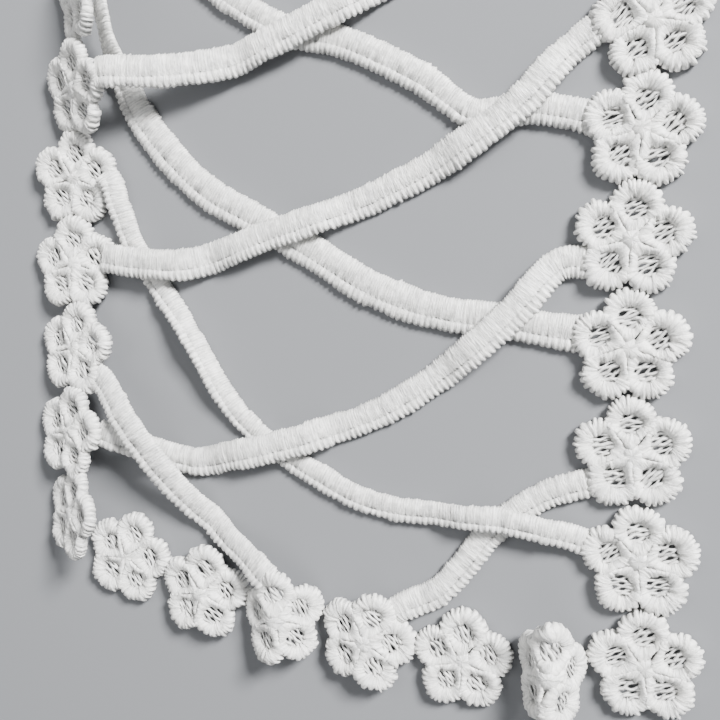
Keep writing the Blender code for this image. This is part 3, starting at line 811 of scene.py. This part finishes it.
def stitch_net(stitching, flower, petal, sizes, rng):
    """The threads across the net of one petal, drawn together in places so that slits stay open."""
    width = sizes.net_thread / MM
    slant = math.radians(flower.slant + rng.normal(0, NET_UNEVEN["slant"])) - petal.axis
    phase = rng.uniform(0, math.pi)
    for thread in range(NET_THREADS):
        offset = (thread - (NET_THREADS - 1) / 2) * NET_PITCH + rng.normal(0, NET_UNEVEN["place"])
        turn = slant + rng.normal(0, NET_UNEVEN["turn"])
        half = math.sqrt(max(NET_REACH ** 2 - offset ** 2, 0.3))
        run = np.linspace(-half, half, NET_POINTS)
        sway = rng.uniform(*NET_SWAY) * np.sin(run * rng.uniform(*NET_WAVES) + phase + thread * math.pi)
        lift = NET_HEIGHT + 0.12 * np.cos(run * 1.6 + thread * 1.7) + rng.normal(0, NET_UNEVEN["height"])
        x, y = turned(run, offset + sway, turn)
        x = x - NET_SHIFT
        route = petal.to_flower(np.hypot(x, y) * petal.scale, np.arctan2(y, x), lift)
        rings = thread_tube(route, width * rng.uniform(*NET_THREAD_WIDTHS), NET_THREAD_HEIGHT)
        strand = np.stack([np.repeat(run, 3), np.tile([0.0, 0.2, 0.1], len(route)),
                           np.full(len(rings), rng.uniform(0, 1))], axis=1)
        # The net's threads get a little painted shade.
        stitching.add_tube(flower.place(rings), 3, strand, 0.25)


def stitch_middle(stitching, flower, rng):
    """The small lump of stitches at a flower's middle."""
    columns = MIDDLE_CORNERS
    angles = np.arange(columns) * 2 * math.pi / columns + rng.uniform(0, 1)
    rows = []
    shift = rng.normal(0, MIDDLE_UNEVEN["place"], 2)
    for radius, height in MIDDLE_ROWS:
        wave = 1 + 0.10 * np.cos(angles * PETALS + 1.0)
        reach = radius * (wave + rng.normal(0, MIDDLE_UNEVEN["radius"], columns))
        heights = height * (1 + rng.normal(0, MIDDLE_UNEVEN["height"], columns))
        rows.append(np.stack([shift[0] + reach * np.cos(angles), shift[1] + reach * np.sin(angles), heights],
                             axis=1))
    points = flower.place(np.concatenate(rows) * flower.scale)
    strand = np.stack([np.zeros(len(points)), np.tile(angles * 0.8, len(rows)),
                       np.full(len(points), rng.uniform(0, 1))], axis=1)
    # The lump gets a little painted shade.
    stitching.add_tube(points, columns, strand, 0.1, ends=-1)


def running_mean(values):
    """The mean of each value and its neighbours along a band."""
    padded = np.pad(values, MEAN_PLACES // 2, mode="edge")
    return np.convolve(padded, np.ones(MEAN_PLACES) / MEAN_PLACES, mode="valid")


def band_sections(band, places, rng):
    """A band's cross-section at each place: across, up, tone and the amount of painted shade, a column for
    each corner.
    """
    count = len(places)
    crest = (np.arange(count) % 2).astype(float)
    stitch = np.arange(count) // 2
    stitches = stitch.max() + 1
    uneven = rng.normal(0, BAND_UNEVEN["stitch end"], (stitches, 2))[stitch]
    thick = rng.normal(0, BAND_UNEVEN["stitch height"], (stitches, 2))[stitch]
    holes = np.where(rng.uniform(0, 1, stitches)[stitch] < NEEDLE_HOLES, 1 - crest, 0.0)
    wave = np.array(LOWER_WAVE)[(np.arange(count) + rng.integers(0, 4)) % 4]
    nicks = rng.normal(0, BAND_UNEVEN["nick"], (count // NICK_PLACES + 1, 2))
    nicks = np.repeat(nicks, NICK_PLACES, axis=0)[:count]
    slow = rng.normal(0, BAND_UNEVEN["height"], count // SLOW_PLACES + 2)
    slow = np.interp(np.arange(count) / SLOW_PLACES, np.arange(len(slow)), slow)
    tone = rng.uniform(0, 1, (stitches, 2))[stitch]
    end = ease(0.0, BAND_TAPER, np.minimum(places, places[-1] - places))
    width = np.full(count, 1.0)
    for swell, length in BAND_SWELLS:
        width = width + swell * np.sin(places / length + rng.uniform(0, 6))
    width = width * band.width
    columns = []
    for share, height, grooved in BAND_PROFILE:
        which = 0 if share < BAND_SPLIT else 1
        phase = (crest, wave)[which]
        edge_stand, depth, shade = BAND_STITCHES[which]
        top = height > BAND_TOP
        if top and abs(share) > BAND_EDGE:
            stand = (phase - 0.5) * edge_stand + (uneven[:, which] + nicks[:, which])
        else:
            stand = (phase - 0.5) * INNER_STAND
        if grooved:
            groove = (phase - 0.5) * depth
            # Painted shade in the grooves between the satin stitches.
            hollow = (1 - phase) * shade
        else:
            groove = wave * SPLIT_WAVE - holes * HOLE_DEPTH
            # Painted shade along the split line and in the needle holes.
            hollow = 0.2 + (1 - wave) * 0.5 + holes * HOLE_SHADE
        if top:
            up = height * (0.7 + 0.3 * end) + (groove + thick[:, which] + slow)
        else:
            up = np.full(count, height)
            # Painted shade on the band's underside.
            hollow = np.full(count, 0.3)
        columns.append((width * share + np.sign(share) * stand, up, tone[:, which], hollow))
    return [np.stack(part, axis=1) for part in zip(*columns)]


def stitch_band(stitching, band, sizes, rng):
    """A band's two rows of satin stitches, from the petal at one end to the petal at the other."""
    course, heights = band.sewn()
    run = np.concatenate([[0], np.cumsum(np.linalg.norm(np.diff(course[:, :2], axis=0), axis=1))])
    count = int(run[-1] / (sizes.satin_pitch / MM / 2))
    places = np.linspace(0, run[-1], count)
    x, y, roll = (np.interp(places, run, course[:, column]) for column in range(3))
    base = running_mean(np.interp(places, run, heights))
    along = Band.directions(np.stack([x, y], axis=1))
    along = np.stack([running_mean(part) for part in along.T], axis=1)
    across, up, tones, hollow = band_sections(band, places, rng)
    strand = np.stack([across, np.broadcast_to(places[:, None], across.shape), tones], axis=-1)
    across, up = turned(across, up, np.radians(roll)[:, None])
    up = up - np.minimum(up.min(axis=1, keepdims=True), 0.0)  # a rolled band rests on its lower edge
    points = band.lay_sections(np.stack([x, y], axis=1), along, base, across, up)
    stitching.add_tube(points, len(BAND_PROFILE), strand.reshape(-1, 3), hollow.ravel())


class Graph:
    """A material's nodes, made from Python expressions."""

    def __init__(self, name):
        self.material = bpy.data.materials.new(name)
        self.material.use_nodes = True
        self.tree = self.material.node_tree
        self.shader = self.tree.nodes["Principled BSDF"]

    def node(self, kind, settings=None, inputs=None, output=0):
        """Adds a node of any type, with its settings and then its sockets, and gives an output."""
        node = self.tree.nodes.new(kind)
        for key, value in (settings or {}).items():
            setattr(node, key, value)
        for key, value in (inputs or {}).items():
            self.set(node.inputs[key], value)
        return Value(self, node.outputs[output])

    def set(self, socket, value):
        """Links a value to a socket, or sets it."""
        if isinstance(value, Value):
            self.tree.links.new(value.socket, socket)
        else:
            socket.default_value = value

    def mix(self, factor, first, second):
        """A mix of two colours."""
        return self.node("ShaderNodeMix", {"data_type": "RGBA"}, {0: factor, 6: first, 7: second}, output=2)

    def finish(self, **sockets):
        """Sets the shader's sockets, by their names with underscores for spaces."""
        for name, value in sockets.items():
            self.set(self.shader.inputs[name.replace("_", " ")], value)
        return self.material


class Value:
    """An output socket that arithmetic can be done with."""

    def __init__(self, graph, socket):
        self.graph = graph
        self.socket = socket

    def maths(self, operation, first, second):
        """Adds a Math node for an expression."""
        return self.graph.node("ShaderNodeMath", {"operation": operation}, {0: first, 1: second})

    def __add__(self, other):
        return self.maths("ADD", self, other)

    def __mul__(self, other):
        return self.maths("MULTIPLY", self, other)

    def __sub__(self, other):
        return self.maths("SUBTRACT", self, other)

    def __rsub__(self, other):
        return self.maths("SUBTRACT", other, self)

    __radd__ = __add__
    __rmul__ = __mul__


def thread_material():
    """White polyester thread, shared by every piece: fine strands, with shade painted into its colour
    between the stitches.
    """
    shared = bpy.data.materials.get("thread_finish")
    if shared:
        return shared
    colours = bpy.context.scene.lace_colours
    graph = Graph("thread_finish")
    strand = graph.node("ShaderNodeAttribute", {"attribute_name": "strand"}, output=1)
    hollow = graph.node("ShaderNodeAttribute", {"attribute_name": "hollow"}, output=2)
    parts = [graph.node("ShaderNodeSeparateXYZ", {}, {0: strand}, output=axis) for axis in range(3)]
    tone = parts[2]
    drawn = graph.node("ShaderNodeCombineXYZ", {},
                       {axis: part * scale for axis, (part, scale) in enumerate(zip(parts, STREAKS))})
    streaks = graph.node("ShaderNodeTexNoise", {},
                         {"Vector": drawn, "Scale": 1.0, "Detail": 3.0, "Roughness": 0.6})
    fibres = graph.node("ShaderNodeTexNoise", {}, {"Vector": strand, "Scale": 6.0, "Detail": 3.0})
    place = graph.node("ShaderNodeTexCoord", output=3)
    clumps = graph.node("ShaderNodeTexNoise", {}, {"Vector": place, "Scale": 700.0, "Detail": 2.0})
    soil = graph.node("ShaderNodeTexNoise", {}, {"Vector": place, "Scale": 90.0, "Detail": 3.0})
    valleys = graph.node("ShaderNodeMapRange", {}, {
        "Value": streaks, "From Min": 0.34, "From Max": 0.60, "To Min": 1.0, "To Max": 0.0})
    # Painted shade: the colour is darkened in hollows, in the valleys between streaks and where the clumps
    # are low.
    deep = hollow * HOLLOW_SHADE + valleys * VALLEY_SHADE + (0.55 - clumps) * CLUMP_SHADE
    warm = [part * warmth for part, warmth in zip(colours.thread, WARMTH)]
    base = graph.mix(tone * 0.35 + soil * 0.35, (*colours.thread, 1), (*warm, 1))
    base = graph.mix(deep, base, (*colours.shade, 1))
    bump = graph.node("ShaderNodeBump", {}, {
        "Height": streaks + clumps * 0.6 + fibres * 0.2, "Strength": 0.8, "Distance": 0.0003})
    rough = colours.roughness + (fibres - 0.5) * 0.25 - tone * 0.06
    return graph.finish(Base_Color=base, Roughness=rough, Normal=bump, Sheen_Weight=0.25,
                        Sheen_Roughness=0.4, Specular_IOR_Level=0.5)


def ground_ring(stitching, flower, petal):
    """The flat web under one petal's stitches."""
    angles = np.arange(WEB_CORNERS) * 2 * math.pi / WEB_CORNERS
    inner = petal.net_edge(angles) + WEB_INSETS[0]
    outer = np.minimum(petal.radius - WEB_INSETS[1], petal.border(angles) - 0.03)
    low, high = PETAL_WEB
    rows = [petal.to_flower(radii, angles, np.full(len(angles), height))
            for radii, height in ((inner, low), (outer, low), (outer, high), (inner, high))]
    # Painted shade darkens the web under the stitches.
    stitching.add(flower.place(np.concatenate(rows)), ring_faces(4, len(angles)), 0.0, 0.5)


def ground_strip(stitching, band):
    """The flat web under a band."""
    course = band.course[::BAND_WEB_STEP]
    half = band.width * BAND_WEB_SHARE
    low, high = BAND_WEB
    turn = np.radians(course[:, 2:])
    across, up = turned(np.array([-half, half, half, -half]), np.array([low, low, high, high]), turn)
    up = up + half * np.abs(np.sin(turn))
    points = band.lay_sections(course, Band.directions(course), band.heights[::BAND_WEB_STEP], across, up)
    # Painted shade darkens the web under the band.
    stitching.add_tube(points, 4, 0.0, 0.5)


class LACE_OT_flowers(bpy.types.Operator):
    """Stitch the flowers of every chain"""

    bl_idname = "lace.flowers"
    bl_label = "Stitch the flowers"

    def execute(self, context):
        sizes = context.scene.lace_sizes
        rng = np.random.default_rng(sizes.seed)
        for name, flowers in LAYOUT.flowers.items():
            stitching = Stitching()
            for flower in flowers:
                for number in range(PETALS):
                    petal = Petal(flower, number, sizes)
                    stitch_rim(stitching, flower, petal, sizes, rng)
                    stitch_net(stitching, flower, petal, sizes, rng)
                stitch_middle(stitching, flower, rng)
            piece = stitching.build(f"flowers_{name}")
            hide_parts(*[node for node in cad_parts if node.startswith(FLOWER_NODES[name])])
        return {"FINISHED"}


class LACE_OT_bands(bpy.types.Operator):
    """Stitch the satin bands between the chains"""

    bl_idname = "lace.bands"
    bl_label = "Stitch the bands"

    def execute(self, context):
        sizes = context.scene.lace_sizes
        rng = np.random.default_rng(sizes.seed + 1)
        for group in ("band_left_", "band_right_", "band_back_left_", "band_back_right_"):
            bands = [band for band in LAYOUT.bands if band.name.startswith(group)]
            stitching = Stitching()
            for band in bands:
                stitch_band(stitching, band, sizes, rng)
            piece = stitching.build(group.replace("band", "bands").rstrip("_"))
            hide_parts(*[band.name for band in bands])
        return {"FINISHED"}


class LACE_OT_ground(bpy.types.Operator):
    bl_idname = "lace.ground"
    bl_label = "Lay the ground"

    def execute(self, context):
        sizes = context.scene.lace_sizes
        stitching = Stitching()
        for flowers in LAYOUT.flowers.values():
            for flower in flowers:
                for number in range(PETALS):
                    ground_ring(stitching, flower, Petal(flower, number, sizes))
        for band in LAYOUT.bands:
            ground_strip(stitching, band)
        piece = stitching.build("ground")
        flowers = sum(len(group) for group in LAYOUT.flowers.values())
        petal_area = math.pi * (PETAL_RADIUS ** 2 - NET_HALF[0] * NET_HALF[1])
        band_area = sum(len(band.course) * COURSE_STEP * band.width for band in LAYOUT.bands)
        area = (flowers * PETALS * petal_area + band_area) * MM ** 2
        return {"FINISHED"}


class LACE_OT_stage(bpy.types.Operator):
    """Set the floor, the soft studio light and the camera"""

    bl_idname = "lace.stage"
    bl_label = "Set the stage"

    def execute(self, context):
        colours = context.scene.lace_colours
        bpy.ops.mesh.primitive_plane_add(size=FLOOR_SIZE, location=(0, 0, FLOOR_HEIGHT))
        floor = bpy.context.object
        floor.name = "floor"
        graph = Graph("floor")
        floor.data.materials.append(graph.finish(Base_Color=(*colours.floor, 1), Roughness=0.9))
        corner = np.array([-NECK_RADIUS, -MIDDLE_Y, 0.0])
        lens = bpy.data.cameras.new("camera")
        lens.lens = CAMERA_LENS
        lens.sensor_width = CAMERA_SENSOR
        lens.clip_start = 0.001
        camera = bpy.data.objects.new("camera", lens)
        camera.location = (corner + CAMERA_PLACE) * MM
        camera.rotation_euler = [math.radians(angle) for angle in CAMERA_TURN]
        context.collection.objects.link(camera)
        context.scene.camera = camera
        for name, place, size, power in LIGHTS:
            light = bpy.data.lights.new(name, "AREA")
            light.size = size
            light.energy = power
            lamp = bpy.data.objects.new(name, light)
            lamp.location = place
            lamp.rotation_euler = (-lamp.location).to_track_quat("-Z", "Y").to_euler()
            context.collection.objects.link(lamp)
        world = bpy.data.worlds.new("studio")
        world.use_nodes = True
        sky = world.node_tree.nodes["Background"]
        sky.inputs["Color"].default_value = SKY_COLOUR
        sky.inputs["Strength"].default_value = SKY_STRENGTH
        context.scene.world = world
        return {"FINISHED"}


class LACE_PT_panel(bpy.types.Panel):
    """Buttons that stitch the patch"""

    bl_label = "Lace neck patch"
    bl_idname = "LACE_PT_panel"
    bl_space_type = "VIEW_3D"
    bl_region_type = "UI"
    bl_category = "Lace"

    def draw(self, context):
        for group in (context.scene.lace_sizes, context.scene.lace_colours):
            for name in group.__annotations__:
                self.layout.prop(group, name)
        for operator in STEPS:
            self.layout.operator(operator.bl_idname)


STEPS = (LACE_OT_flowers, LACE_OT_bands, LACE_OT_ground, LACE_OT_stage)
CLASSES = (LaceSizes, LaceColours, *STEPS, LACE_PT_panel)


def register():
    """Adds the classes and the scene's settings."""
    for item in CLASSES:
        bpy.utils.register_class(item)
    bpy.types.Scene.lace_sizes = bpy.props.PointerProperty(type=LaceSizes)
    bpy.types.Scene.lace_colours = bpy.props.PointerProperty(type=LaceColours)


def unregister():
    """Takes them out again."""
    del bpy.types.Scene.lace_sizes
    del bpy.types.Scene.lace_colours
    for item in reversed(CLASSES):
        bpy.utils.unregister_class(item)


def main():
    """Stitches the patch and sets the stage."""
    register()
    bpy.ops.lace.flowers()
    bpy.ops.lace.bands()
    bpy.ops.lace.ground()
    bpy.ops.lace.stage()


if __name__ == "__main__":
    main()
